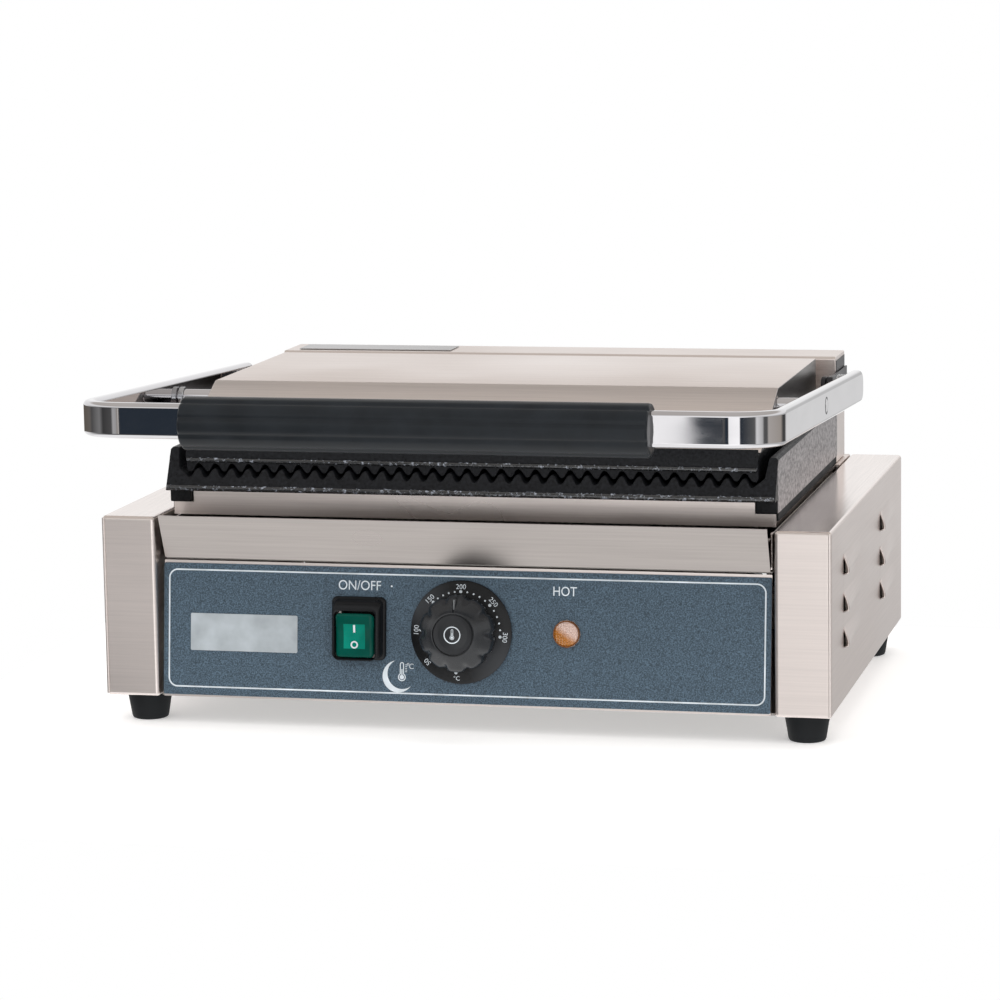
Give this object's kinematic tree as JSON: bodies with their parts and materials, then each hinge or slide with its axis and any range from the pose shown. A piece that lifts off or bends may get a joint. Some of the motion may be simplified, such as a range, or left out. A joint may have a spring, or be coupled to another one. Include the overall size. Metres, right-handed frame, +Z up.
{
  "type": "panini press",
  "caption": "Single contact grill with a hinged ribbed upper plate on a U-shaped chrome handle, control panel and pull-out drip tray.",
  "frame": {"origin": "centre of the footprint box, on the worktop under the feet", "axes": "+X to the right when facing the control panel, +Y towards the hinge at the rear, +Z up"},
  "size_m": [0.4168, 0.3988, 0.1978],
  "materials": {
    "brushed_steel": "brushed stainless sheet, lines along the width",
    "dark_steel": "dark blued steel, satin",
    "chrome": "polished",
    "enamelled_iron": "black vitreous enamel with fine pale specks, glossy",
    "panel_overlay": "printed polyester film, blue-grey with a fine speckle",
    "black_plastic": "moulded black thermoset, satin",
    "knob_cap": "dark grey insert, satin",
    "grip_plastic": "moulded blue-black plastic with lengthwise flutes",
    "rubber": "moulded black rubber",
    "fasteners": "bright zinc",
    "green_rocker": "translucent green, glossy",
    "amber_lens": "faceted translucent amber",
    "heater_sheath": "oxidised heater sheath",
    "ceramic": "unglazed steatite",
    "silver_label": "plain foil label"
  },
  "bodies": {
    "base": {"side_box_left": "brushed_steel", "side_box_right": "brushed_steel", "base_pan": "brushed_steel", "rear_panel": "brushed_steel", "control_panel": "brushed_steel", "tray_shelf": "brushed_steel", "tray_rail_left": "brushed_steel", "tray_rail_right": "brushed_steel", "plate_frame": "brushed_steel", "heat_shield": "brushed_steel", "rear_deck": "brushed_steel", "hinge_housing": "brushed_steel", "lower_clamp_plate": "dark_steel", "hinge_bracket_left": "dark_steel", "hinge_bracket_right": "dark_steel", "lower_plate": "enamelled_iron", "panel_overlay": "panel_overlay", "switch_bezel": "black_plastic", "switch_body": "black_plastic", "lamp_body": "black_plastic", "dial_scale": "black_plastic", "cable_gland": "black_plastic", "foot_front_left": "rubber", "foot_front_right": "rubber", "foot_rear_left": "rubber", "foot_rear_right": "rubber", "foot_screw_front_left": "fasteners", "foot_screw_front_right": "fasteners", "foot_screw_rear_left": "fasteners", "foot_screw_rear_right": "fasteners", "lift_spring_left": "fasteners", "lift_spring_right": "fasteners", "capillary_tube": "fasteners", "sensing_bulb": "fasteners", "lamp_lens": "amber_lens", "lower_heater": "heater_sheath", "thermostat_body": "ceramic", "terminal_block": "ceramic", "rating_label": "silver_label"},
    "handle": {"handle_frame": "chrome", "handle_grip": "grip_plastic", "cross_rod": "chrome", "rod_collar_left": "dark_steel", "rod_collar_right": "dark_steel", "hinge_pin_left": "fasteners", "hinge_pin_right": "fasteners"},
    "upper": {"upper_plate": "enamelled_iron", "lid_cover": "brushed_steel", "plate_lug_left": "enamelled_iron", "plate_lug_right": "enamelled_iron", "upper_heater": "heater_sheath", "upper_clamp_plate": "dark_steel"},
    "knob": {"thermostat_shaft": "fasteners", "knob_grip": "black_plastic", "knob_cap": "knob_cap"},
    "rocker": {"switch_rocker": "green_rocker"},
    "tray": {"drip_tray": "brushed_steel"}
  },
  "joints": [
    {"name": "lid_hinge", "type": "hinge", "parent": "base", "child": "handle", "pos_m": [0, 0.1104, 0.16965], "axis": [-1, 0, 0], "range_deg": [0, 70], "deforming": ["lift_spring_left", "lift_spring_right"]},
    {"name": "plate_tilt", "type": "hinge", "parent": "handle", "child": "upper", "pos_m": [0, -0.0236, 0.17635], "axis": [-1, 0, 0], "range_deg": [-4.5, 0]},
    {"name": "knob_turn", "type": "hinge", "parent": "base", "child": "knob", "pos_m": [0, -0.09882, 0.05807], "axis": [0, 0.9941, -0.1085], "range_deg": [-174, 95]},
    {"name": "switch_rock", "type": "hinge", "parent": "base", "child": "rocker", "pos_m": [-0.057, -0.09842, 0.05712], "axis": [-1, 0, 0], "range_deg": [0, 8]},
    {"name": "tray_slide", "type": "slide", "parent": "base", "child": "tray", "axis": [0, -1, 0], "range_m": [0, 0.2]}
  ],
  "couplings": [
    {"joint": "plate_tilt", "follows": "lid_hinge", "ratio": -0.06}
  ]
}
